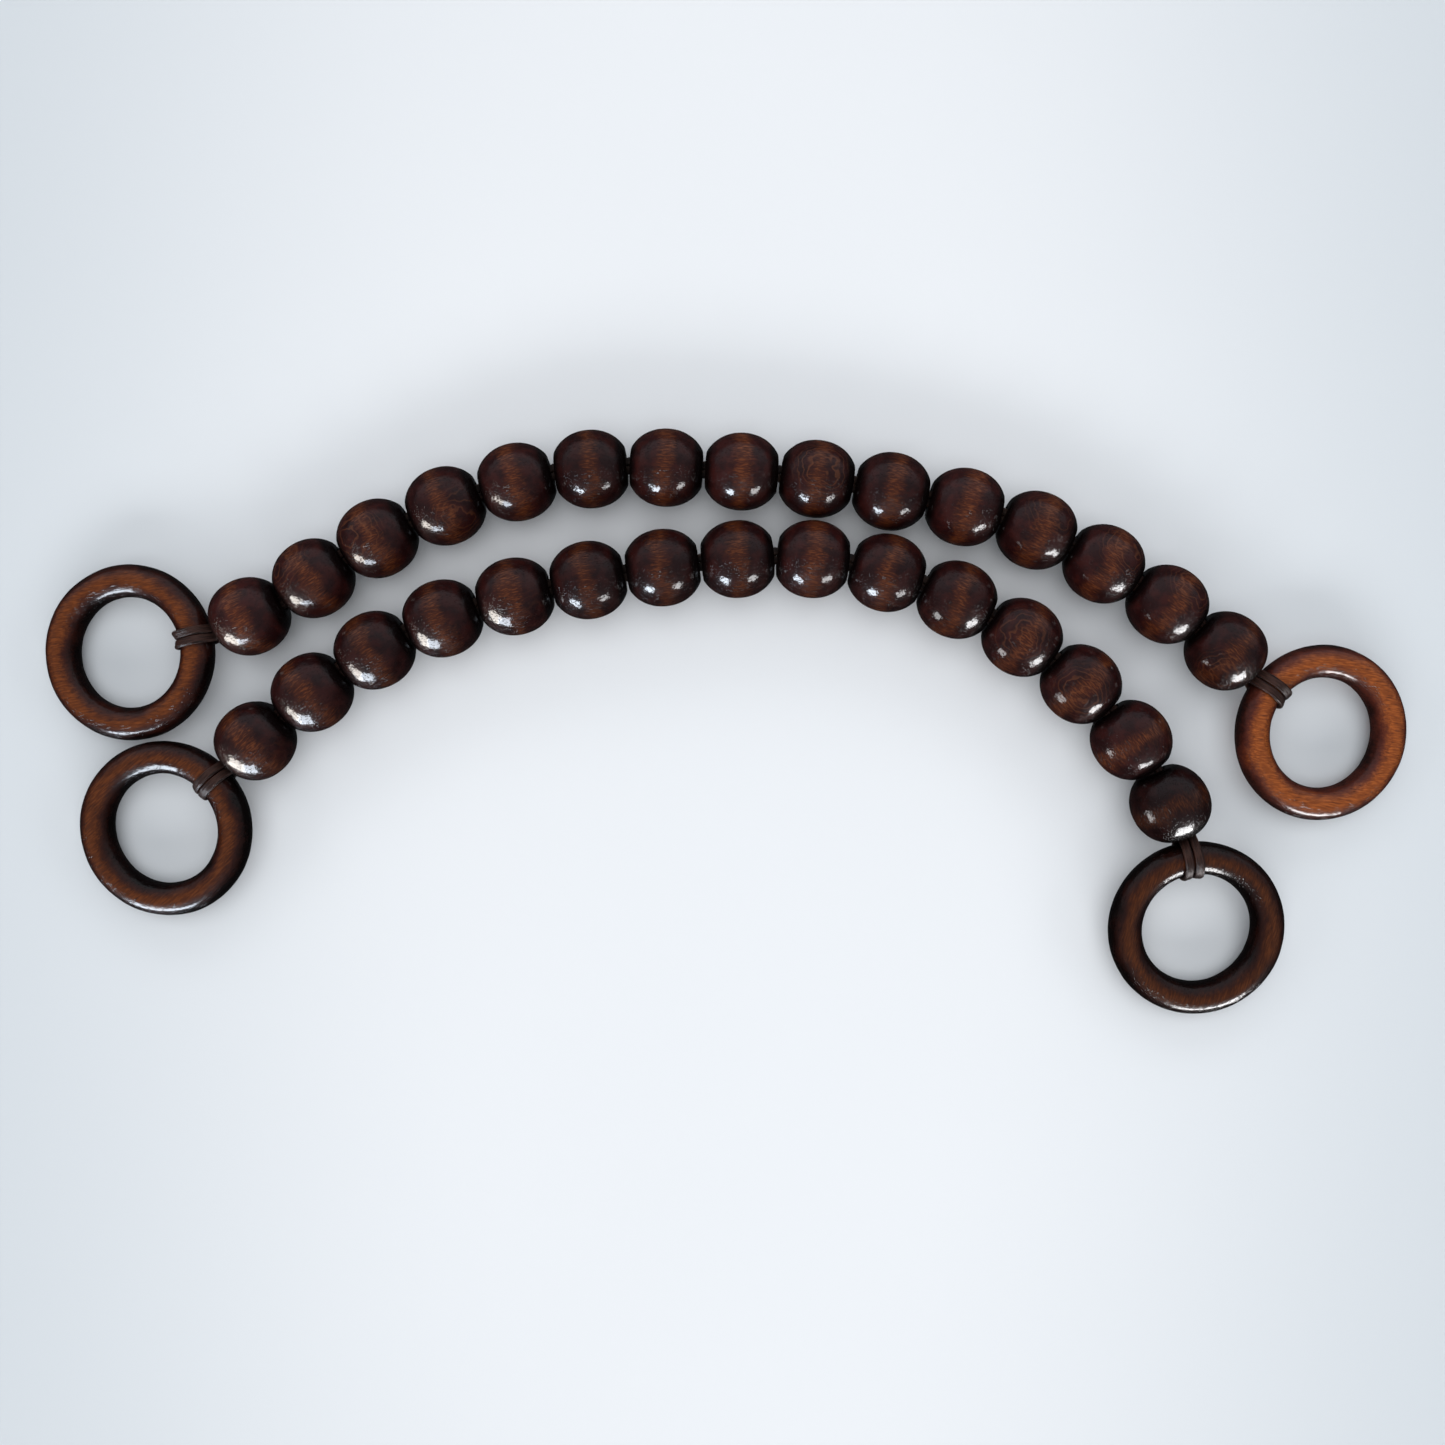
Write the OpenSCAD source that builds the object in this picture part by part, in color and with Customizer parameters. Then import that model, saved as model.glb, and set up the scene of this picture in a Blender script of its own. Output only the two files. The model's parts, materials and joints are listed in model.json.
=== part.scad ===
// A pair of wooden bead handles. Each strand is fifteen turned beads on a doubled flat lace,
// with a turned wooden ring held in a lace loop at each end. Both strands lie side by side
// on a flat surface, bowed like a rainbow.
// Origin: on the surface, at the middle of the pair. +Z is up and +X runs along the strands.

/* [Beads] */
// Diameter of a bead, across its hole
bead_d = 20; // [19.6:0.1:20.2]
// Length of a bead along its hole, between its two flats
bead_l = 18.4; // [18.2:0.1:18.6]
// Diameter of the hole
hole_d = 5.2; // [5.1:0.1:5.6]
// Chamfer at each mouth of the hole
mouth = 0.5; // [0.3:0.1:0.6]
// Diameter of the countersink where the loop leaves an end bead
sink_d = 8; // [7.8:0.1:8.2]
// Depth of that countersink
sink_h = 1.2; // [1:0.1:1.4]
// Gap between one bead's flat and the next bead's flat
bead_gap = 1.1; // [1:0.1:1.3]

/* [Rings] */
// Thickness of the ring's round section
ring_t = 8.6; // [8.2:0.1:8.6]
// Diameter of the hole of the ring
ring_hole = 28.8; // [27:0.2:31]
// Distance from an end bead's centre to the middle of the ring's section
ring_reach = 14.9; // [14.9:0.1:16]
// Extra distance for each degree that the ring is turned aside
reach_per_turn = 0.02; // [0.02:0.01:0.05]
// Height of the section's middle where the loop holds it
ring_near_z = 9; // [8.8:0.1:9.4]

/* [Lace] */
// Width of the flat lace
lace_w = 2.3; // [2:0.1:2.3]
// Thickness of the flat lace
lace_t = 1.2; // [1:0.1:1.2]
// Slack between a loop and the ring inside it
loop_gap = 0.25; // [0.25:0.01:0.3]
// Play in the cup where one length of lace bends against the next
cup_gap = 0.05; // [0.03:0.01:0.08]

/* [Hidden] */
$fn = 64;

// How each strand lies: the direction in degrees of every bead's hole from left to right,
// the turn of the left and right ring out of line with its bead, and the middle bead's place.
BACK = [
    [26, 35, 29, 22, 15, 5, -3, -3, -8, -11, -13, -23, -30, -35, -42],
    [-14, 4],
    [5, 64.5, 0]
];
FRONT = [
    [43, 38, 30, 20, 14, 11, 8, 5, -5, -16, -26, -34, -43, -53, -64],
    [0, -17],
    [4, 41.9, 0]
];

// There are fifteen beads, and number 8 is the middle one.
MID = 8;
LAST = 15;

pitch = bead_l + bead_gap;
ring_r = (ring_hole + ring_t) / 2;
tilt = asin((ring_near_z - ring_t / 2) / (2 * ring_r));
pair_off = (lace_w - 0.1) / 2;
pair_w = 2 * lace_w + 0.1;
loop_r = ring_t / 2 + loop_gap + lace_t / 2;
bend_d = lace_t - 0.04;

// Where the lace turns at the mouth of an end bead, and the ring's section seen from there.
leg_z = lace_t / 2 - 0.01;
near_z = ring_near_z - bead_d / 2;
function near_x(s, out) = ring_reach + reach_per_turn * abs(turn(s, out)) - bead_l / 2;

// Direction of bead n, the turn of the ring on one side, and the bend from bead n outward.
// out is 1 towards the right end of a strand and -1 towards its left end.
function heading(s, n) = s[0][n - 1];
function turn(s, out) = s[1][out < 0 ? 0 : 1];
function bend(s, n, out) = heading(s, n + out) - heading(s, n);
function end_bead(out) = out < 0 ? 1 : LAST;
function dir(a) = [cos(a), sin(a), 0];

// Centre of bead n before the pair is moved to the origin: each bead follows from the one
// nearer the middle, half a pitch along its direction and half a pitch along the other's.
function lie(s, n) =
    n == MID ? s[2]
    : n > MID ? lie(s, n - 1) + pitch / 2 * (dir(heading(s, n - 1)) + dir(heading(s, n)))
    : lie(s, n + 1) - pitch / 2 * (dir(heading(s, n + 1)) + dir(heading(s, n)));

// Outward direction of the ring on one side, and the ring's centre before the move.
function ring_dir(s, out) = heading(s, end_bead(out)) + turn(s, out) + (out < 0 ? 180 : 0);
function ring_lie(s, out) =
    lie(s, end_bead(out))
    + out * bead_l / 2 * dir(heading(s, end_bead(out)))
    + (near_x(s, out) + ring_r * cos(tilt)) * dir(ring_dir(s, out));

// Half of the room that a tilted ring takes along X and along Y.
function ring_half(a) = [
    ring_r * sqrt(1 - pow(sin(tilt) * cos(a), 2)) + ring_t / 2,
    ring_r * sqrt(1 - pow(sin(tilt) * sin(a), 2)) + ring_t / 2
];

// The pair is centred from its outermost pieces: the rings, and the highest bead in Y.
LOW = [for (s = [BACK, FRONT], o = [-1, 1]) ring_lie(s, o) - concat(ring_half(ring_dir(s, o)), 0)];
HIGH = [for (s = [BACK, FRONT], o = [-1, 1]) ring_lie(s, o) + concat(ring_half(ring_dir(s, o)), 0)];
TOPS = [for (n = [1:LAST]) lie(BACK, n)[1] + bead_d / 2];
SHIFT = [
    -(min([for (p = LOW) p[0]]) + max([for (p = HIGH) p[0]])) / 2,
    -(min([for (p = LOW) p[1]]) + max(TOPS)) / 2,
    bead_d / 2
];

// Puts children on bead n: origin at its centre, +X along its hole towards the out side.
module on_bead(s, n, out = 1) {
    translate(lie(s, n) + SHIFT)
        rotate([0, 0, heading(s, n) + (out < 0 ? 180 : 0)])
            children();
}

// Puts children at the mouth of an end bead, with +X towards the ring.
module on_mouth(s, out) {
    on_bead(s, end_bead(out), out)
        translate([bead_l / 2, 0, 0])
            rotate([0, 0, turn(s, out)])
                children();
}

// A ball with two flats and a hole along X. The mouth at the +X flat opens to diameter d
// over depth h, and the other mouth has the plain chamfer.
module bead_body(d, h) {
    rotate([0, 90, 0])
        rotate_extrude($fn = 96)
            intersection() {
                circle(d = bead_d);
                polygon([
                    [hole_d / 2, mouth - bead_l / 2],
                    [hole_d / 2 + mouth, -bead_l / 2],
                    [bead_d, -bead_l / 2],
                    [bead_d, bead_l / 2],
                    [d / 2, bead_l / 2],
                    [hole_d / 2, bead_l / 2 - h]
                ]);
            }
}

// The two end beads are countersunk where the loop leaves them.
module bead(s, n) {
    color("#4a2416")
        if (n == 1 || n == LAST)
            on_bead(s, n, n == 1 ? -1 : 1) bead_body(sink_d, sink_h);
        else
            on_bead(s, n) bead_body(hole_d + 2 * mouth, mouth);
}

// A turned ring, nearly flat, with the side in the loop held up.
module ring(s, out, tone) {
    color(tone)
        on_mouth(s, out)
            translate([near_x(s, out), 0, near_z])
                rotate([0, tilt, 0])
                    translate([ring_r, 0, 0])
                        rotate_extrude($fn = 128)
                            translate([ring_r, 0])
                                circle(d = ring_t);
}

// Section of one lace: flat, with round edges, w wide and t thick.
module lace_section(w, t) {
    square([w - t, t], center = true);
    for (side = [-1, 1])
        translate([side * (w - t) / 2, 0]) circle(d = t);
}

// Section of the two laces lying side by side.
module pair_section() {
    for (side = [-1, 1])
        translate([side * pair_off, 0]) lace_section(lace_w, lace_t);
}

// Both laces, straight, from the origin along +X.
module pair_run(l) {
    rotate([90, 0, 90]) linear_extrude(l) pair_section();
}

// A roller with round ends, lying along Y, w long and d thick.
module roller(w, d) {
    rotate([90, 0, 0])
        rotate_extrude()
            intersection() {
                rotate(90) lace_section(w, d);
                translate([0, -w]) square([d, 2 * w]);
            }
}

// Both laces where they bend: they turn about a line across the strand.
module pair_bend() {
    for (side = [-1, 1])
        translate([0, side * pair_off, 0]) roller(lace_w - 0.04, bend_d);
}

// A block that fills everything past a plane across the lace, on its +X side.
module past(x) {
    translate([x, -4, -2]) cube([3, 8, 4]);
}

// Outer end of a length of lace, half a pitch from the bead's centre: it is mitred
// halfway to the next bead's direction.
module mitre(turned) {
    translate([pitch / 2, 0, 0]) rotate([0, 0, turned]) past(0);
}

// Inner end: mitred too, and hollowed into a cup that turns on the bend of the next length.
module cup(turned) {
    translate([-pitch / 2, 0, 0])
        rotate([0, 0, turned]) {
            mirror([1, 0, 0]) past(-0.15);
            roller(pair_w + 2 * cup_gap, lace_t + 2 * cup_gap);
        }
}

module bend_here(turned) {
    translate([pitch / 2, 0, 0]) rotate([0, 0, turned]) pair_bend();
}

// The length of lace inside the middle bead, with a bend at both ends.
module middle_lace(s) {
    color("#2b1a14")
        on_bead(s, MID) {
            difference() {
                translate([-pitch / 2 - 0.5, 0, 0]) pair_run(pitch + 1);
                mitre(bend(s, MID, 1) / 2);
                rotate([0, 0, 180]) mitre(bend(s, MID, -1) / 2);
            }
            bend_here(bend(s, MID, 1) / 2);
            rotate([0, 0, 180]) bend_here(bend(s, MID, -1) / 2);
        }
}

// The length of lace inside bead n, from its cup to its bend.
module plain_run(s, n, out) {
    on_bead(s, n, out) {
        difference() {
            translate([-pitch / 2 - 0.5, 0, 0]) pair_run(pitch + 1);
            mitre(bend(s, n, out) / 2);
            cup(-bend(s, n - out, out) / 2);
        }
        bend_here(bend(s, n, out) / 2);
    }
}

module lace(s, n, out) {
    color("#2b1a14") plain_run(s, n, out);
}

// The end length: through the last two beads, out of the mouth, round the ring and back in.
// Inside the end bead the returning laces lie under the others.
module end_lace(s, out) {
    n = end_bead(out);
    color("#2b1a14") {
        plain_run(s, n - out, out);
        on_bead(s, n, out)
            translate([-pitch / 2 - 0.2, 0, 0])
                rotate([90, 0, 90])
                    linear_extrude((pitch + bead_l) / 2 + 0.2)
                        for (up = [-1, 1])
                            translate([0, up * leg_z]) pair_section();
        on_mouth(s, out) loop(near_x(s, out));
    }
}

// Both laces from the mouth to the ring's section at x, around it, and back to the mouth:
// each is a closed band seen from the side, as wide as the lace.
module loop(x) {
    for (side = [-1, 1])
        translate([0, side * (lace_w + 0.1) / 2, 0])
            rotate([90, 0, 0])
                linear_extrude(lace_w, center = true)
                    difference() {
                        loop_outline(x, lace_t / 2);
                        loop_outline(x, -lace_t / 2);
                    }
}

// A drop shape: the circle around the ring's section, closed by a point at the mouth.
// off moves its line from the middle of the lace to the lace's outer or inner face.
module loop_outline(x, off) {
    translate([x, near_z]) circle(r = loop_r + off, $fn = 96);
    polygon([foot(x, 1, off), far(x, 1, off), [x, near_z], far(x, -1, off), foot(x, -1, off)]);
}

// Each straight leg touches the circle at an angle around the ring's section. Its foot is at
// the mouth, and it runs a little past that angle and just inside the circle.
function touch(x, up) =
    let (rise = near_z - up * leg_z, apart = norm([x, rise]))
        180 + atan2(rise, x) - up * acos(loop_r / apart);
function foot(x, up, off) =
    [off * cos(touch(x, up)), up * leg_z + off * sin(touch(x, up))];
function far(x, up, off) =
    let (a = touch(x, up) - 8 * up)
        [x, near_z] + 0.98 * (loop_r + off) * [cos(a), sin(a)];

// The back strand, from left to right: beads, rings and lengths of lace.
bead(BACK, 1);  // back_bead_01
bead(BACK, 2);  // back_bead_02
bead(BACK, 3);  // back_bead_03
bead(BACK, 4);  // back_bead_04
bead(BACK, 5);  // back_bead_05
bead(BACK, 6);  // back_bead_06
bead(BACK, 7);  // back_bead_07
bead(BACK, 8);  // back_bead_08
bead(BACK, 9);  // back_bead_09
bead(BACK, 10);  // back_bead_10
bead(BACK, 11);  // back_bead_11
bead(BACK, 12);  // back_bead_12
bead(BACK, 13);  // back_bead_13
bead(BACK, 14);  // back_bead_14
bead(BACK, 15);  // back_bead_15
ring(BACK, -1, "#6b3a1e");  // back_ring_left
ring(BACK, 1, "#9a5a26");  // back_ring_right
end_lace(BACK, -1);  // back_lace_01
lace(BACK, 3, -1);  // back_lace_02
lace(BACK, 4, -1);  // back_lace_03
lace(BACK, 5, -1);  // back_lace_04
lace(BACK, 6, -1);  // back_lace_05
lace(BACK, 7, -1);  // back_lace_06
middle_lace(BACK);  // back_lace_07
lace(BACK, 9, 1);  // back_lace_08
lace(BACK, 10, 1);  // back_lace_09
lace(BACK, 11, 1);  // back_lace_10
lace(BACK, 12, 1);  // back_lace_11
lace(BACK, 13, 1);  // back_lace_12
end_lace(BACK, 1);  // back_lace_13

// The front strand, from left to right: beads, rings and lengths of lace.
bead(FRONT, 1);  // front_bead_01
bead(FRONT, 2);  // front_bead_02
bead(FRONT, 3);  // front_bead_03
bead(FRONT, 4);  // front_bead_04
bead(FRONT, 5);  // front_bead_05
bead(FRONT, 6);  // front_bead_06
bead(FRONT, 7);  // front_bead_07
bead(FRONT, 8);  // front_bead_08
bead(FRONT, 9);  // front_bead_09
bead(FRONT, 10);  // front_bead_10
bead(FRONT, 11);  // front_bead_11
bead(FRONT, 12);  // front_bead_12
bead(FRONT, 13);  // front_bead_13
bead(FRONT, 14);  // front_bead_14
bead(FRONT, 15);  // front_bead_15
ring(FRONT, -1, "#6b3a1e");  // front_ring_left
ring(FRONT, 1, "#5f331c");  // front_ring_right
end_lace(FRONT, -1);  // front_lace_01
lace(FRONT, 3, -1);  // front_lace_02
lace(FRONT, 4, -1);  // front_lace_03
lace(FRONT, 5, -1);  // front_lace_04
lace(FRONT, 6, -1);  // front_lace_05
lace(FRONT, 7, -1);  // front_lace_06
middle_lace(FRONT);  // front_lace_07
lace(FRONT, 9, 1);  // front_lace_08
lace(FRONT, 10, 1);  // front_lace_09
lace(FRONT, 11, 1);  // front_lace_10
lace(FRONT, 12, 1);  // front_lace_11
lace(FRONT, 13, 1);  // front_lace_12
end_lace(FRONT, 1);  // front_lace_13
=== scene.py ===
import json
import math
import random

import bpy
from mathutils import Matrix, Vector, noise


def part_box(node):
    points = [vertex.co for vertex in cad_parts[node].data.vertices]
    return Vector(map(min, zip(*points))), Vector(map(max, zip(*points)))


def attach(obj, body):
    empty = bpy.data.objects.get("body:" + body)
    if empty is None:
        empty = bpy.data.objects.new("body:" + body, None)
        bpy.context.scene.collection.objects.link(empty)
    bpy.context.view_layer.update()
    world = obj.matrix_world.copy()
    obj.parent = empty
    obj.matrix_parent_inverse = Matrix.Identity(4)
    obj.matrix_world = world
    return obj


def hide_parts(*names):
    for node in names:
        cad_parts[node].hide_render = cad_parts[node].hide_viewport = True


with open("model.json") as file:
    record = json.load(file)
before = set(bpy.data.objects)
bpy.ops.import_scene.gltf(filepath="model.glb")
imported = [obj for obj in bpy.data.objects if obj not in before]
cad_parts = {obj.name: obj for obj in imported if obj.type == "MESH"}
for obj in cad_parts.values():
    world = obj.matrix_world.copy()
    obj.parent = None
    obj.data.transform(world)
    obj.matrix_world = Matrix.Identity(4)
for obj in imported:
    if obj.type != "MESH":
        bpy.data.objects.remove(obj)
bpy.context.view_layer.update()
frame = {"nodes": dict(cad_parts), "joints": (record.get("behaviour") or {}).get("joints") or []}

# A pair of wooden bead handles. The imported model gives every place: each bead from the joint
# that it spins on, each ring from its node's box and the joint that it swings on, and each
# loop of lace from the beads and the ring that it joins.

MM = 0.001
UP = Vector((0, 0, 1))
JOINTS = {joint["name"]: joint for joint in frame["joints"]}
STRANDS = ("back", "front")
END_BEAD = {"left": 1, "right": 15}
NEXT_BEAD = {"left": 2, "right": 14}
BEADS = range(1, 16)

# Beads: half of the pitch, the air left between two rims at the sharpest bend, how far a bend
# goes, the hole's radius, and how deep its mouth is rounded.
HALF_PITCH = 9.75 * MM
RIM_AIR = 0.04 * MM
BEND = math.radians(10)
HOLE_R = 2.6 * MM
MOUTH_DIP = 0.7 * MM

# A bead's wall: its fullness, where 2 is a ball and more is fuller, and the half length that it
# would have if it closed. The outer end of an end bead has its own wall and end face. Its lace
# leaves it at BEAD_MOUTH from its middle.
BEAD_WALL = (2.1, 10.35 * MM)
END_WALL = (2.15, 9.86 * MM)
END_REACH, END_SLOPE = 9.6 * MM, 0.1
BEAD_MOUTH = 9.2 * MM

# Lace: a flat strip's width and thickness. Two strips lie side by side, and two such pairs in
# an end bead: how far each strip lies from the middle sideways and in height, and the air left
# between a strip and the ring.
LACE_W = 2.25 * MM
LACE_T = 1.15 * MM
LACE_SIDE = 1.2 * MM
LACE_LEVEL = 0.59 * MM
LACE_SLACK = 0.1 * MM

# The wood of each bead, from left to right: where the eye of the growth rings lies, as the
# angle round the hole from the top towards the front and the angle along the hole, how
# strongly the rings show, and how light the wood is.
BEAD_LOOKS = {
    "back": [
        (40, -35, 0.2, 1.25), (-42, -22, 0.7, 1.05), (-12, -22, 0.9, 1.0), (38, 20, 0.7, 0.95),
        (60, 0, 0.1, 1.05), (-50, 30, 0.1, 0.8), (50, 0, 0.15, 1.0), (70, 10, 0.1, 1.15),
        (-8, 6, 1.0, 0.95), (-60, 10, 0.1, 0.95), (75, 0, 0.1, 1.2), (-28, 8, 0.5, 1.05),
        (-30, 14, 0.8, 1.15), (-42, 12, 0.8, 1.1), (48, 14, 0.9, 0.85)
    ],
    "front": [
        (60, 10, 0.2, 0.95), (70, 0, 0.1, 0.95), (-70, 20, 0.1, 0.85), (55, -10, 0.1, 0.9),
        (45, 25, 0.2, 0.95), (70, 0, 0.2, 0.8), (65, 10, 0.2, 0.85), (80, 0, 0.1, 0.9),
        (75, 0, 0.1, 1.1), (60, 0, 0.2, 0.95), (70, -10, 0.1, 0.95), (6, -8, 0.7, 1.05),
        (22, 4, 0.9, 1.0), (-55, 25, 0.3, 1.05), (60, 0, 0.1, 0.5)
    ],
}

# The wood of each ring: the direction of its grain in degrees from +X, how light it is, and
# how far the dark of its stain and painted shade reaches from the walls over the crest.
RING_LOOKS = {
    ("back", "left"): (8, 0.70, 0.02),
    ("back", "right"): (-8, 1.6, -0.12),
    ("front", "left"): (40, 0.50, 0.04),
    ("front", "right"): (75, 0.38, 0.06),
}

# Where the front right ring has two fine steps: the arc's start and end, and their place round
# the section, in degrees.
RIDGE = (150, 235, 40)

# A ring's middle radius and its section's radius in millimetres, which its stain and painted shade
# follow.
RING_CREST, RING_WALL = 18.7, 4.3

# Each loop of lace: how far its two strips spread over the ring, and how much each rolls
# about its own length, in degrees, for the strip at the back and the one at the front.
LOOP_LOOKS = {
    ("back", "left"): (0.0, 16, -24),
    ("back", "right"): (0.1, 8, -16),
    ("front", "left"): (0.05, -10, 14),
    ("front", "right"): (0.22, 12, -10),
}

# The room's light by the height of a ray, at the sides and front, and at the back.
SIDE_WALLS = [(0.0, 0.02), (0.35, 0.13), (0.7, 0.22), (1.0, 0.22)]
BACK_WALL = [(0.0, 0.03), (0.25, 0.50), (0.7, 0.46), (1.0, 0.24)]
BACKDROP = (0.66, 0.69, 0.73, 1.0)

# Colours of the lights, and the low lights round the paper: name, heading in degrees, watts.
WHITE, WARM, BLUE = (0.99, 0.99, 1.0), (1.0, 0.95, 0.88), (0.80, 0.89, 1.0)
PAPER_LIGHTS = [
    ("front_sky", -90, 46), ("right_sky", 0, 15), ("back_sky", 90, 15), ("left_sky", 180, 11)
]

# The floor's radius and corners, and how far it lies below the beads.
FLOOR_R, FLOOR_SIDES, FLOOR_DROP = 3.0, 96, 0.05 * MM

# The camera looks straight down: its place, and its sensor and lens in millimetres.
CAMERA_AT = (-0.8 * MM, 0.3 * MM, 355.4 * MM)
SENSOR, LENS = 36.0, 33.26


# Mesh helpers

def new_object(name, points, faces, smooth=True):
    mesh = bpy.data.meshes.new(name)
    mesh.from_pydata([tuple(p) for p in points], [], faces)
    mesh.validate()
    if smooth:
        mesh.polygons.foreach_set("use_smooth", [True] * len(mesh.polygons))
    thing = bpy.data.objects.new(name, mesh)
    bpy.context.scene.collection.objects.link(thing)
    return thing


def grid_faces(rows, columns, loop_rows):
    """Quads between rows of points. Each row is closed, and loop_rows joins the last row to
    the first."""
    faces = []
    for row in range(rows if loop_rows else rows - 1):
        here, there = row * columns, (row + 1) % rows * columns
        for column in range(columns):
            beside = (column + 1) % columns
            faces.append((here + column, here + beside, there + beside, there + column))
    return faces


def place(thing, origin, x_axis, z_axis):
    """Sets thing's frame in the world, so that its own coordinates start at its middle."""
    y_axis = z_axis.cross(x_axis)
    turn = Matrix((x_axis, y_axis, z_axis)).transposed().to_4x4()
    thing.matrix_world = Matrix.Translation(origin) @ turn


def wobble(point, scale, seed):
    return noise.noise(point * scale + Vector((seed, seed * 1.7, -seed)))


# Beads

def bead_axis(strand, number):
    """The direction of a bead's hole, towards +X."""
    axis = Vector(JOINTS[f"{strand}_bead_{number:02d}_spin"]["axis"])
    return -axis if axis.x < 0 else axis


def bead_end(strand, number, side):
    """Shape of one end of a bead: its wall, and its end face as the reach on the hole's axis and
    the slope, which keeps two rims apart when they bend as far as they go."""
    if number + side not in BEADS:
        return (*END_WALL, END_REACH, END_SLOPE)
    rest = bead_axis(strand, number).angle(bead_axis(strand, number + side))
    most = math.acos(math.cos(rest) * math.cos(BEND))
    return (*BEAD_WALL, HALF_PITCH - RIM_AIR, math.tan(most / 2))


def half_outline(radius, end, rim):
    """One half of a bead's section as (along the hole, out from it), from inside the hole
    over the end face to the middle of the wall."""
    fullness, length, reach, slope = end

    def wall(x):
        return radius * (1 - (x / length) ** fullness) ** (1 / fullness)

    # The edge is where the end face meets the wall.
    edge = reach - slope * radius / 2
    for _ in range(20):
        edge = reach - slope * wall(edge)
    mouth = reach - slope * rim
    points = [((mouth - MOUTH_DIP) * share, HOLE_R) for share in (0.25, 0.6)]
    for share in (1.0, 0.6, 0.25):
        dip = (1 - math.cos(share * math.pi / 2)) * MOUTH_DIP
        points.append((mouth - dip, rim + (HOLE_R - rim) * math.sin(share * math.pi / 2)))
    for share in (0.0, 0.3, 0.6, 0.9):
        out = rim + (wall(edge) - rim) * share
        points.append((reach - slope * out, out))
    points.append((edge - 0.05 * MM, wall(edge) - 0.02 * MM))
    steps = 21
    points += [(edge * math.sin(math.pi / 2 * i / steps), 0) for i in range(steps - 2, 0, -1)]
    return [(x, out or wall(x)) for x, out in points]


def bead_outline(radius, ends, rng):
    """A bead's section, from inside the hole round the whole wall to inside the hole again."""
    rim = HOLE_R + rng.uniform(0.4, 0.7) * MM
    left, right = (half_outline(radius, end, rim) for end in ends)
    return [(-x, out) for x, out in left] + [(0, radius)] + list(reversed(right))


def bead_mesh(name, radius, ends, rng):
    """A turned bead: its section carried round the hole, with the small faults of hand turning."""
    columns = 96
    outline = bead_outline(radius, ends, rng)
    seed = rng.uniform(0, 50)
    ovalness, oval_turn = rng.uniform(0.002, 0.008), rng.uniform(0, math.pi)
    points = []
    for along, out in outline:
        for column in range(columns):
            turn = 2 * math.pi * column / columns
            swell = 1
            if out > HOLE_R * 1.05:
                swell += ovalness * math.cos(2 * (turn - oval_turn))
                ball = Vector((along, out * math.cos(turn), out * math.sin(turn)))
                swell += 0.004 * wobble(ball, 150, seed) + 0.0012 * wobble(ball, 600, seed)
            points.append((along, out * swell * math.sin(turn), out * swell * math.cos(turn)))
    faces = [tuple(reversed(f)) for f in grid_faces(len(outline), columns, True)]
    return new_object(name, points, faces)


def eye_direction(turn, lean):
    """The direction of the growth-ring eye in the bead's own frame."""
    turn, lean = math.radians(turn), math.radians(lean)
    return (math.sin(lean), -math.cos(lean) * math.sin(turn), math.cos(lean) * math.cos(turn))


def make_bead(strand, number, wood):
    node = f"{strand}_bead_{number:02d}"
    middle = Vector(JOINTS[f"{node}_spin"]["pos_m"])
    low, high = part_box(node)
    rng = random.Random(f"{strand}{number}")
    ends = [bead_end(strand, number, side) for side in (-1, 1)]
    bead = bead_mesh(f"{node}_turned", (high.z - low.z) / 2, ends, rng)
    place(bead, middle, bead_axis(strand, number), UP)
    turn, lean, rings, light = BEAD_LOOKS[strand][number - 1]
    bead["eye"] = eye_direction(turn, lean)
    bead["rings"] = float(rings)
    bead["light"] = float(light)
    bead["seed"] = rng.uniform(0, 90)
    bead.data.materials.append(wood)
    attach(bead, JOINTS[f"{node}_spin"]["child"])
    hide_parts(node)
    return bead


# Rings

def ring_frame(strand, side):
    """Centre, direction to the lace, normal, middle radius and section radius of a ring."""
    node = f"{strand}_ring_{side}"
    joint = JOINTS[f"{node}_swing"]
    low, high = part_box(node)
    centre = (low + high) / 2
    reach = Vector(joint["pos_m"]) - centre
    toward = reach.normalized()
    normal = toward.cross(Vector(joint["axis"])).normalized()
    if normal.z < 0:
        normal = -normal
    section = (high.z - low.z) / 2 - abs(reach.z)
    return centre, toward, normal, reach.length, section


def ring_mesh(name, middle_r, section_r, rng, ridge):
    """A turned ring with faint tool marks, and with two fine steps if it has a ridge."""
    rows, columns = 220, 56
    seed = rng.uniform(0, 50)
    points = []
    for row in range(rows):
        around = 2 * math.pi * row / rows
        radial = Vector((math.cos(around), math.sin(around), 0))
        for column in range(columns):
            tilt = 2 * math.pi * column / columns
            out = radial * math.cos(tilt) + UP * math.sin(tilt)
            spot = radial * middle_r + out * section_r
            size = section_r + 0.10 * MM * wobble(spot, 90, seed)
            size += 0.03 * MM * wobble(spot, 450, seed)
            size += 0.02 * MM * math.cos(14 * tilt + seed)
            size -= 0.05 * MM * abs(math.cos(tilt)) ** 6
            if ridge:
                size += ridge_height(around, tilt, ridge)
            points.append(radial * middle_r + out * size)
    faces = [tuple(reversed(f)) for f in grid_faces(rows, columns, True)]
    return new_object(name, points, faces)


def ridge_height(around, tilt, ridge):
    """Two fine steps along the outer shoulder, fading out at both ends of the arc."""
    start, end, shoulder = (math.radians(v) for v in ridge)
    share = ((around - start) % (2 * math.pi)) / (end - start)
    if share > 1:
        return 0
    fade = math.sin(math.pi * share) ** 0.7
    off = tilt - shoulder + 0.12 * math.sin(5 * share)
    groove = math.exp(-(off / 0.07) ** 2) + 0.6 * math.exp(-((off - 0.32) / 0.06) ** 2)
    return -0.22 * MM * fade * groove


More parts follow.
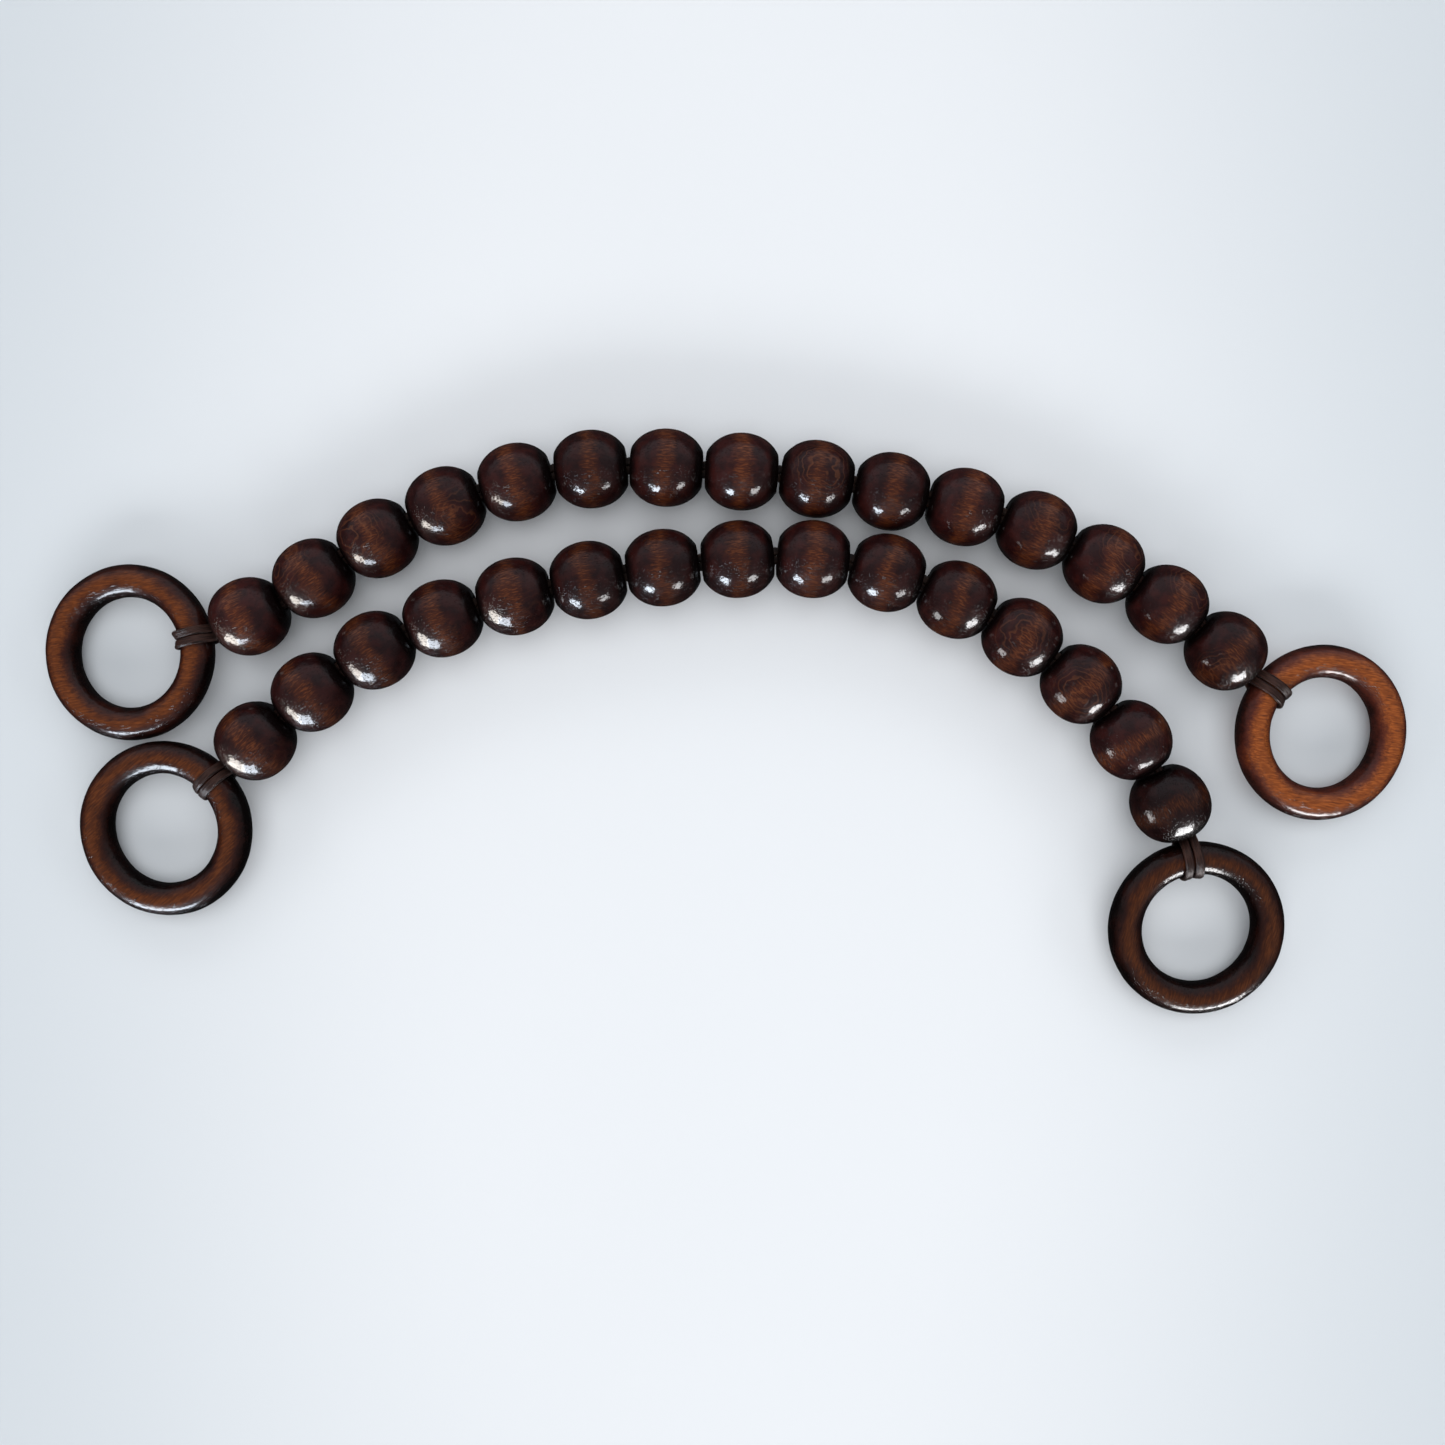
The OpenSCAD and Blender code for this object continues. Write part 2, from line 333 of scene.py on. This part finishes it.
def make_ring(strand, side, wood):
    node = f"{strand}_ring_{side}"
    centre, toward, normal, middle_r, section_r = ring_frame(strand, side)
    rng = random.Random(node)
    ridge = RIDGE if node == "front_ring_right" else None
    ring = ring_mesh(f"{node}_turned", middle_r, section_r, rng, ridge)
    place(ring, centre, toward, normal)
    grain, light, stain_and_shade = RING_LOOKS[strand, side]
    heading = math.atan2(toward.y, toward.x)
    angle = math.radians(grain) - heading
    ring["grain"] = (math.cos(angle), math.sin(angle), 0.0)
    ring["across"] = (-math.sin(angle), math.cos(angle), 0.0)
    ring["light"] = float(light)
    ring["stain_and_shade"] = float(stain_and_shade)
    ring["seed"] = rng.uniform(0, 90)
    ring.data.materials.append(wood)
    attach(ring, JOINTS[f"{node}_swing"]["child"])
    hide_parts(node)
    return ring


# Lace

def strip_outline():
    """Section of a strip as (across, out): a flat oval with a groove and rolled edges."""
    points = []
    count = 36
    for step in range(count):
        turn = 2 * math.pi * step / count
        across = math.copysign(abs(math.cos(turn)) ** 0.7, math.cos(turn))
        out = math.copysign(abs(math.sin(turn)) ** 0.6, math.sin(turn))
        groove = 0.30 * math.exp(-((across - 0.12) / 0.13) ** 2)
        groove += 0.12 * math.exp(-((across + 0.5) / 0.12) ** 2)
        points.append((across * LACE_W / 2, out * (1 - groove) * LACE_T / 2))
    return points


def span(start, end, count):
    return [start.lerp(end, step / count) for step in range(count)]


def tangent_turn(reach, rise, level, radius):
    """Angle round the ring's section where a straight run from the bead's mouth meets the loop.
    level is the run's height in the mouth, above or below its middle."""
    apart = math.hypot(reach, rise - level)
    up = math.copysign(1, level)
    return math.pi + math.atan2(rise - level, reach) - up * math.acos(radius / apart)


def loop_route(strand, side):
    """Route of a lace as (point, direction across it, share of the spread), from the
    last bend through two beads, round the ring and back through the end bead."""
    start = Vector(JOINTS[f"{strand}_bend_{side}_6"]["pos_m"])
    end = Vector(JOINTS[f"{strand}_bead_{END_BEAD[side]:02d}_spin"]["pos_m"])
    before = Vector(JOINTS[f"{strand}_bead_{NEXT_BEAD[side]:02d}_spin"]["pos_m"])
    knee = before + (before - start)
    hole = (end - knee).normalized()
    mouth = end + hole * BEAD_MOUTH
    section = Vector(JOINTS[f"{strand}_ring_{side}_swing"]["pos_m"])
    flat = Vector((section.x - mouth.x, section.y - mouth.y, 0))
    ahead, reach, rise = flat.normalized(), flat.length, section.z - mouth.z
    radius = ring_frame(strand, side)[4] + LACE_SLACK + LACE_T / 2
    level = UP * LACE_LEVEL
    first = tangent_turn(reach, rise, LACE_LEVEL, radius)
    last = tangent_turn(reach, rise, -LACE_LEVEL, radius) - 2 * math.pi
    side_start, side_end = UP.cross(knee - start).normalized(), UP.cross(hole)
    side_ring = UP.cross(ahead)

    def on_loop(turn):
        return section + radius * (math.cos(turn) * ahead + math.sin(turn) * UP)

    route = [(p, side_start, 0) for p in span(start, knee - hole * 2 * MM, 22)]
    route += [(p, side_end, 0) for p in span(knee + hole * 2 * MM + level, mouth + level, 20)]
    leg = span(mouth + level, on_loop(first), 8)
    route += [(p, side_end.lerp(side_ring, i / 8), 0.5 * i / 8) for i, p in enumerate(leg)]
    turns = 60
    for step in range(turns + 1):
        turn = first + (last - first) * step / turns
        route.append((on_loop(turn), side_ring, 0.5 + 0.5 * math.sin(math.pi * step / turns)))
    leg = span(on_loop(last), mouth - level, 8)[1:]
    route += [(p, side_ring.lerp(side_end, i / 7), 0.5 - 0.5 * i / 7) for i, p in enumerate(leg)]
    route += [(p, side_end, 0) for p in span(mouth - level, knee + hole * MM - level, 20)]
    return route


def smooth_line(points, rounds):
    for _ in range(rounds):
        inner = [(a + 2 * b + c) / 4 for a, b, c in zip(points, points[1:], points[2:])]
        points = [points[0], *inner, points[-1]]
    return points


def strip_mesh(name, route, place_across, spread, roll, seed):
    """A strip of lace along the route, on one side of its middle."""
    sign = math.copysign(1, place_across)
    line = [
        p + across * (place_across + sign * spread * MM * share)
        for p, across, share in route
    ]
    line = smooth_line(line, 4)
    outline = strip_outline()
    points, rows = [], len(line)
    for row, p in enumerate(line):
        ahead = (line[min(row + 1, rows - 1)] - line[max(row - 1, 0)]).normalized()
        share = max(0.0, route[row][2] - 0.25) / 0.75
        across = (route[row][1] - ahead * route[row][1].dot(ahead)).normalized()
        out = ahead.cross(across)
        turn = Matrix.Rotation(math.radians(roll) * share, 3, ahead)
        across, out = turn @ across, turn @ out
        for a, o in outline:
            rough = 1 + 0.05 * wobble(p + across * a, 900, seed)
            points.append(p + across * a * rough + out * o * rough)
    count = len(outline)
    faces = grid_faces(rows, count, False)
    faces += [tuple(reversed(range(count))), tuple(range((rows - 1) * count, rows * count))]
    strip = new_object(name, points, faces)
    mark_strip(strip, rows, outline)
    return strip


def mark_strip(strip, rows, outline):
    """Keeps the place along and across the strip at every point, for its leather's creases."""
    along = strip.data.attributes.new("along", "FLOAT", "POINT")
    across = strip.data.attributes.new("across", "FLOAT", "POINT")
    count = len(outline)
    along.data.foreach_set("value", [i // count / rows for i in range(rows * count)])
    shares = [outline[i % count][0] / LACE_W for i in range(rows * count)]
    across.data.foreach_set("value", shares)


def make_loop(strand, side, leather):
    node = f"{strand}_lace_{1 if side == 'left' else 13:02d}"
    spread, roll_back, roll_front = LOOP_LOOKS[strand, side]
    route = loop_route(strand, side)
    strips = []
    for tag, place_across, roll in (("a", LACE_SIDE, roll_back), ("b", -LACE_SIDE, roll_front)):
        rng = random.Random(f"{node}{tag}")
        seed = rng.uniform(0, 50)
        strip = strip_mesh(f"{node}_strip_{tag}", route, place_across, spread, roll, seed)
        strip.data.materials.append(leather)
        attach(strip, node)
        strips.append(strip)
    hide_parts(node)
    return strips


# Materials

class Tree:
    """A material's nodes. Each call adds one and returns the output that the next one reads."""

    def __init__(self, name):
        self.material = bpy.data.materials.new(name)
        self.material.use_nodes = True
        self.tree = self.material.node_tree
        self.shader = self.tree.nodes["Principled BSDF"]

    def join(self, value, socket):
        if isinstance(value, bpy.types.NodeSocket):
            self.tree.links.new(value, socket)
        else:
            socket.default_value = value

    def add(self, kind, inputs, output=0, **settings):
        node = self.tree.nodes.new(kind)
        for name, value in settings.items():
            setattr(node, name, value)
        for name, value in inputs.items():
            self.join(value, node.inputs[name])
        return node.outputs[output]

    def math(self, operation, a, b=0.0, c=0.0):
        return self.add("ShaderNodeMath", {0: a, 1: b, 2: c}, operation=operation)

    def vector(self, operation, a, b=(0, 0, 0), output=0):
        return self.add("ShaderNodeVectorMath", {0: a, 1: b}, output, operation=operation)

    def stretch(self, vector, scale, move=(0, 0, 0)):
        return self.vector("MULTIPLY", self.vector("ADD", vector, move), scale)

    def noise(self, vector, scale=1.0, detail=2.0):
        return self.add("ShaderNodeTexNoise", {"Vector": vector, "Scale": scale, "Detail": detail})

    def ramp(self, value, low, high):
        """0 below low, 1 above high, with a smooth rise between."""
        inputs = {"Value": value, "From Min": low, "From Max": high}
        return self.add("ShaderNodeMapRange", inputs, interpolation_type="SMOOTHSTEP")

    def blend(self, share, a, b, how="MIX"):
        node = self.tree.nodes.new("ShaderNodeMix")
        node.data_type, node.blend_type = "RGBA", how
        for index, value in ((0, share), (6, a), (7, b)):
            self.join(value, node.inputs[index])
        return node.outputs[2]

    def prop(self, name, output="Fac"):
        """A custom property of the object."""
        kind = "ShaderNodeAttribute"
        return self.add(kind, {}, output, attribute_type="OBJECT", attribute_name=name)

    def point(self, name):
        """A value kept at every point of the mesh."""
        return self.add("ShaderNodeAttribute", {}, "Fac", attribute_name=name)

    def bump(self, height, strength, distance):
        inputs = {"Height": height, "Strength": strength, "Distance": distance}
        return self.add("ShaderNodeBump", inputs)

    def finish(self, **values):
        for name, value in values.items():
            self.join(value, self.shader.inputs[name.replace("_", " ")])
        return self.material


def rgb(red, green, blue):
    return (red, green, blue, 1.0)


def millimetres(tree):
    """The object's own coordinates in millimetres, moved by its seed, and as they are."""
    own = tree.add("ShaderNodeTexCoord", {}, "Object")
    plain = tree.vector("MULTIPLY", own, (1000, 1000, 1000))
    moved = tree.vector("ADD", plain, tree.prop("seed", "Vector"))
    return plain, moved


def varnish(tree, colour, grain_height, gloss):
    """Stained wood under gloss varnish that has sunk a little into the pores."""
    skin = tree.bump(grain_height, 0.22, 0.0002)
    own = tree.add("ShaderNodeTexCoord", {}, "Object")
    dust = tree.math("MULTIPLY", tree.noise(own, 1900.0, 2.0), 0.3)
    coat = tree.bump(tree.math("ADD", grain_height, dust), 0.4, 0.0002)
    return tree.finish(
        Base_Color=colour, Roughness=0.42, Normal=skin, Coat_Weight=0.8, Coat_Roughness=gloss,
        Coat_IOR=1.45, Specular_IOR_Level=0.06, Coat_Normal=coat
    )


def bead_wood():
    """Beech stained dark, black at the hole ends from end grain and painted shade, with a painted
    sheen: a lighter band with flecks round the belly.
    """
    tree = Tree("bead_wood")
    plain, moved = millimetres(tree)
    along = tree.add("ShaderNodeSeparateXYZ", {"Vector": plain}, "X")
    streaks = tree.noise(tree.stretch(moved, (0.3, 1.8, 1.8)), 1.0, 3.0)
    flecks = tree.noise(tree.stretch(moved, (0.6, 3.3, 3.3)), 1.0, 2.0)
    clouds = tree.noise(moved, 0.16, 2.0)
    jag = tree.math("MULTIPLY_ADD", streaks, 3.6, -1.8)
    drift = tree.math("MULTIPLY_ADD", clouds, 6.0, -3.0)
    off = tree.math("ABSOLUTE", tree.math("ADD", along, tree.math("ADD", jag, drift)))
    # Painted sheen: a lighter band round the belly, across the grain, with lighter flecks in it.
    sheen_band = tree.math("SUBTRACT", 1.0, tree.ramp(off, -0.2, 3.6))
    patches = tree.ramp(tree.noise(moved, 0.3, 3.0), 0.38, 0.64)
    dark = tree.blend(patches, rgb(0.018, 0.0044, 0.0046), rgb(0.036, 0.0075, 0.0066))
    wood = tree.blend(sheen_band, dark, rgb(0.062, 0.0150, 0.0072))
    sheen_flecks = tree.math("MULTIPLY", tree.ramp(flecks, 0.46, 0.68), sheen_band)
    wood = tree.blend(tree.math("MULTIPLY", sheen_flecks, 0.7), wood, rgb(0.20, 0.058, 0.019))
    wood = ring_lines(tree, wood, moved)
    # End grain and painted shade: near black towards both hole ends, where two beads meet. The
    # darkening starts nearer the middle at the right end, as painted shade for light from the left.
    ends = tree.ramp(tree.math("ABSOLUTE", tree.math("ADD", along, 0.4)), 6.6, 8.4)
    wood = tree.blend(ends, wood, rgb(0.0035, 0.0014, 0.0014))
    pores = tree.ramp(flecks, 0.30, 0.40)
    wood = tree.blend(tree.math("MULTIPLY_ADD", pores, -0.4, 0.4), wood, rgb(0.005, 0.002, 0.002))
    wood = tree.blend(1.0, wood, tree.prop("light", "Color"), "MULTIPLY")
    height = tree.math("ADD", pores, tree.math("MULTIPLY", tree.noise(moved, 0.7, 2.0), 1.2))
    return varnish(tree, wood, height, 0.07)


def ring_lines(tree, wood, moved):
    """Growth rings cut by the ball: thin light lines round the eye."""
    eye = tree.prop("eye", "Vector")
    depth = tree.vector("DOT_PRODUCT", moved, eye, "Value")
    warp = tree.math("MULTIPLY_ADD", tree.noise(moved, 0.2, 2.0), 3.0, -1.5)
    phase = tree.math("FRACT", tree.math("DIVIDE", tree.math("ADD", depth, warp), 0.8))
    rise = tree.ramp(phase, 0.62, 0.86)
    line = tree.math("MULTIPLY", rise, tree.math("SUBTRACT", 1.0, tree.ramp(phase, 0.88, 1.0)))
    outward = tree.vector("NORMALIZE", tree.add("ShaderNodeTexCoord", {}, "Object"))
    near = tree.vector("DOT_PRODUCT", outward, eye, "Value")
    strength = tree.math("MULTIPLY", line, tree.prop("rings"))
    share = tree.math("MULTIPLY", strength, tree.ramp(near, 0.55, 0.97))
    return tree.blend(tree.math("MULTIPLY", share, 0.5), wood, rgb(0.17, 0.057, 0.024))


def ring_wood():
    """A ring with straight grain, lighter along its crest and dark on both walls, from rubbed stain
    and from painted light on the crest and painted shade on the walls.
    """
    tree = Tree("ring_wood")
    plain, moved = millimetres(tree)
    grain = tree.vector("DOT_PRODUCT", moved, tree.prop("grain", "Vector"), "Value")
    across = tree.vector("DOT_PRODUCT", moved, tree.prop("across", "Vector"), "Value")
    height = tree.add("ShaderNodeSeparateXYZ", {"Vector": moved}, "Z")
    fibres = tree.add("ShaderNodeCombineXYZ", {"X": grain, "Y": across, "Z": height})
    streaks = tree.noise(tree.stretch(fibres, (0.2, 1.4, 1.4)), 1.0, 4.0)
    flecks = tree.noise(tree.stretch(fibres, (0.4, 2.6, 2.6)), 1.0, 2.0)
    clouds = tree.noise(moved, 0.11, 3.0)
    away = tree.vector("LENGTH", tree.vector("MULTIPLY", plain, (1, 1, 0)), output="Value")
    side = tree.math("MULTIPLY_ADD", away, 1 / RING_WALL, -RING_CREST / RING_WALL)
    side = tree.math("ABSOLUTE", side)
    jag = tree.math("MULTIPLY_ADD", streaks, 0.4, -0.2)
    drift = tree.math("MULTIPLY_ADD", clouds, 1.0, -0.5)
    off = tree.math("ADD", tree.math("ADD", side, tree.math("ADD", jag, drift)), tree.prop("stain_and_shade"))
    # Painted light and shade with the stain: near black on the walls, lit and lighter along the
    # crest.
    brown = tree.math("SUBTRACT", 1.0, tree.ramp(off, 0.5, 1.05))
    rubbed_and_lit_crest = tree.math("SUBTRACT", 1.0, tree.ramp(off, 0.05, 0.68))
    wood = tree.blend(brown, rgb(0.007, 0.0028, 0.0026), rgb(0.058, 0.0125, 0.0076))
    wood = tree.blend(rubbed_and_lit_crest, wood, rgb(0.170, 0.042, 0.0098))
    bright = tree.math("MULTIPLY", tree.ramp(flecks, 0.42, 0.70), rubbed_and_lit_crest)
    wood = tree.blend(tree.math("MULTIPLY", bright, 0.6), wood, rgb(0.37, 0.098, 0.021))
    pores = tree.ramp(flecks, 0.28, 0.40)
    wood = tree.blend(tree.math("MULTIPLY_ADD", pores, -0.45, 0.45), wood, rgb(0.01, 0.004, 0.003))
    wood = tree.blend(1.0, wood, tree.prop("light", "Color"), "MULTIPLY")
    relief = tree.math("ADD", pores, tree.math("MULTIPLY", tree.noise(moved, 0.6, 2.0), 1.2))
    return varnish(tree, wood, relief, 0.15)


def strip_leather():
    """Waxed lace with creases along it, for the strips that keep their place along and across."""
    tree = Tree("strip_leather")
    along = tree.math("MULTIPLY", tree.point("along"), 14.0)
    across = tree.math("MULTIPLY", tree.point("across"), 9.0)
    route = tree.add("ShaderNodeCombineXYZ", {"X": along, "Y": across})
    creases = tree.noise(route, 1.0, 4.0)
    own = tree.add("ShaderNodeTexCoord", {}, "Object")
    pebbles = tree.noise(own, 2200.0, 2.0)
    folds = tree.ramp(creases, 0.35, 0.7)
    colour = tree.blend(folds, rgb(0.011, 0.0050, 0.0042), rgb(0.070, 0.031, 0.023))
    worn = tree.math("MULTIPLY", tree.ramp(pebbles, 0.5, 0.8), 0.4)
    colour = tree.blend(worn, colour, rgb(0.06, 0.032, 0.024))
    height = tree.math("ADD", creases, tree.math("MULTIPLY", pebbles, 0.3))
    gloss = tree.add("ShaderNodeMapRange", {"Value": creases, "To Min": 0.30, "To Max": 0.52})
    return tree.finish(
        Base_Color=colour, Roughness=gloss, Normal=tree.bump(height, 0.7, 0.0003),
        Specular_IOR_Level=0.3
    )


def hidden_leather():
    """The same lace inside the beads, where only a glimpse shows between two of them."""
    tree = Tree("hidden_leather")
    own = tree.add("ShaderNodeTexCoord", {}, "Object")
    creases = tree.noise(own, 700.0, 4.0)
    pebbles = tree.noise(own, 2200.0, 2.0)
    folds = tree.ramp(creases, 0.35, 0.7)
    colour = tree.blend(folds, rgb(0.012, 0.007, 0.006), rgb(0.050, 0.026, 0.018))
    height = tree.math("ADD", creases, tree.math("MULTIPLY", pebbles, 0.3))
    gloss = tree.add("ShaderNodeMapRange", {"Value": pebbles, "To Min": 0.34, "To Max": 0.55})
    return tree.finish(Base_Color=colour, Roughness=gloss, Normal=tree.bump(height, 0.6, 0.0002))


def floor_paper():
    """White paper, with painted shade that makes it greyer away from the middle and most of all at
    the sides.
    """
    tree = Tree("floor_paper")
    own = tree.add("ShaderNodeTexCoord", {}, "Object")
    clouds = tree.noise(own, 5.0, 2.0)
    colour = tree.blend(clouds, rgb(0.77, 0.79, 0.81), rgb(0.81, 0.83, 0.85))
    # Painted shade: greyer towards the sides, and less so towards the top and bottom.
    aside = tree.vector("LENGTH", tree.vector("MULTIPLY", own, (1, 0.35, 0)), output="Value")
    colour = tree.blend(tree.ramp(aside, 0.06, 0.23), colour, rgb(0.62, 0.66, 0.69))
    return tree.finish(Base_Color=colour, Roughness=0.9, Specular_IOR_Level=0.1)


# Stage, light and camera

def make_floor():
    turns = [2 * math.pi * step / FLOOR_SIDES for step in range(FLOOR_SIDES)]
    edge = [(FLOOR_R * math.cos(turn), FLOOR_R * math.sin(turn), 0) for turn in turns]
    floor = new_object("floor", edge, [tuple(range(FLOOR_SIDES))], smooth=False)
    floor.location.z = -FLOOR_DROP
    floor.data.materials.append(floor_paper())
    floor.visible_glossy = False
    return floor


def area_light(name, at, target, width, height, power, colour, only=None):
    light = bpy.data.lights.new(name, "AREA")
    light.shape, light.size, light.size_y = "RECTANGLE", width, height
    light.energy = power
    light.color = colour
    lamp = bpy.data.objects.new(name, light)
    bpy.context.scene.collection.objects.link(lamp)
    lamp.location = at
    lamp.rotation_euler = (Vector(target) - Vector(at)).to_track_quat("-Z", "Y").to_euler()
    lamp.visible_camera = False
    if only:
        lamp.light_linking.receiver_collection = only
    return lamp


def make_room():
    """Soft light from all round, dark below the horizon and brightest from the wall at the back,
    with a plain backdrop for the camera."""
    world = bpy.data.worlds.new("room")
    world.use_nodes = True
    tree = world.node_tree
    direction = tree.nodes.new("ShaderNodeTexCoord")
    split = tree.nodes.new("ShaderNodeSeparateXYZ")
    tree.links.new(direction.outputs["Generated"], split.inputs["Vector"])
    walls = [room_ramp(tree, split.outputs["Z"], stops) for stops in (SIDE_WALLS, BACK_WALL)]
    back = tree.nodes.new("ShaderNodeMapRange")
    back.interpolation_type = "SMOOTHSTEP"
    tree.links.new(split.outputs["Y"], back.inputs["Value"])
    back.inputs["From Min"].default_value, back.inputs["From Max"].default_value = -0.1, 0.75
    mix = tree.nodes.new("ShaderNodeMix")
    mix.data_type = "RGBA"
    tree.links.new(back.outputs[0], mix.inputs[0])
    tree.links.new(walls[0], mix.inputs[6])
    tree.links.new(walls[1], mix.inputs[7])
    behind = tree.nodes.new("ShaderNodeMix")
    behind.data_type = "RGBA"
    path = tree.nodes.new("ShaderNodeLightPath")
    tree.links.new(path.outputs["Is Camera Ray"], behind.inputs[0])
    tree.links.new(mix.outputs[2], behind.inputs[6])
    behind.inputs[7].default_value = BACKDROP
    tree.links.new(behind.outputs[2], tree.nodes["Background"].inputs["Color"])
    bpy.context.scene.world = world


def room_ramp(tree, height, stops):
    """The room's light by the height of a ray: stops hold a height and a brightness each."""
    ramp = tree.nodes.new("ShaderNodeValToRGB")
    tree.links.new(height, ramp.inputs["Fac"])
    own = ramp.color_ramp.elements
    for up, _ in stops[1:-1]:
        own.new(up)
    for stop, (up, light) in zip(own, stops):
        stop.position, stop.color = up, rgb(0.93 * light, light, 1.08 * light)
    return ramp.outputs["Color"]


def receivers(name, things):
    """A collection of the things that a light shines on."""
    group = bpy.data.collections.new(name)
    for thing in things:
        group.objects.link(thing)
    return group


def pane(name, at, heading, distance, width, height, brightness, colour, only):
    """A bright pane low down in the room, which shows only as a reflection."""
    turn = math.radians(heading)
    spot = Vector(at) + distance * Vector((math.cos(turn), math.sin(turn), 0))
    lamp = area_light(name, spot, at, width, height, brightness * width * height, colour, only)
    lamp.visible_diffuse = False


def bead_group(name, beads, numbers):
    """A collection of the beads of both strands with the given numbers."""
    chosen = [bead for spot, bead in enumerate(beads) if spot % len(BEADS) + 1 in numbers]
    return receivers(name, chosen)


def make_lights(beads, rings, laces, floor):
    """Low light from all sides on the paper, soft light on the pair, and bright panes that only
    the beads, or the rings and laces, mirror."""
    make_room()
    low = Vector((0, 0, 10 * MM))
    paper = receivers("paper", [floor])
    area_light("ceiling", (0, 0.1, 1.5), low, 1.8, 1.8, 15, WHITE, paper)
    for name, heading, power in PAPER_LIGHTS:
        turn = math.radians(heading)
        at = (2.6 * math.cos(turn), 2.6 * math.sin(turn), 1.4)
        area_light(name, at, low, 3.2, 0.8, power, WHITE, paper)
    wood = receivers("wood", beads + rings + laces)
    front = area_light("front_glow", (-0.7, -1.1, 0.7), low, 1.2, 0.6, 11, WARM, wood)
    above = area_light("back_glow", (0, 0.6, 0.9), low, 1.2, 0.6, 6, WHITE, wood)
    front.visible_glossy = above.visible_glossy = False
    left = bead_group("left_beads", beads, range(1, 6))
    middle = bead_group("middle_beads", beads, range(6, 11))
    right = bead_group("right_beads", beads, range(11, 16))
    pane("left_pane", (-0.10, 0, 0.03), -130, 0.30, 0.17, 0.20, 70, WARM, left)
    pane("left_blue", (-0.10, 0, 0.03), -103, 0.30, 0.15, 0.18, 70, BLUE, left)
    pane("middle_left", (0, 0, 0.09), -120, 0.50, 0.19, 0.16, 110, BLUE, middle)
    pane("middle_right", (0, 0, 0.13), -54, 0.50, 0.19, 0.15, 48, WHITE, middle)
    pane("right_pane", (0.10, 0, 0.04), -61, 0.40, 0.21, 0.20, 80, WHITE, right)
    pane("right_far", (0.10, 0, 0.03), -143, 0.40, 0.12, 0.12, 34, WHITE, right)
    left = receivers("left_rings", rings[0::2] + laces)
    right = receivers("right_rings", rings[1::2] + laces)
    pane("left_ring_pane", (-0.15, 0, 0.12), -114, 0.70, 0.50, 0.26, 75, BLUE, left)
    pane("right_ring_pane", (0.13, 0, 0.05), -68, 0.70, 0.42, 0.24, 75, WHITE, right)


def make_camera():
    data = bpy.data.cameras.new("camera")
    data.sensor_width, data.lens = SENSOR, LENS
    camera = bpy.data.objects.new("camera", data)
    camera.location = CAMERA_AT
    bpy.context.scene.collection.objects.link(camera)
    bpy.context.scene.camera = camera


def main():
    make_camera()
    turned, rubbed_and_shaded, leather = bead_wood(), ring_wood(), strip_leather()
    beads = [make_bead(strand, number, turned) for strand in STRANDS for number in BEADS]
    rings, laces = [], []
    for strand in STRANDS:
        for side in END_BEAD:
            rings.append(make_ring(strand, side, rubbed_and_shaded))
            laces += make_loop(strand, side, leather)
    inside = hidden_leather()
    for name, node in frame["nodes"].items():
        if "_lace_" in name and not node.hide_render:
            for slot in node.material_slots:
                slot.material = inside
            laces.append(node)
    make_lights(beads, rings, laces, make_floor())
    bpy.context.scene.view_settings.view_transform = "Standard"


main()
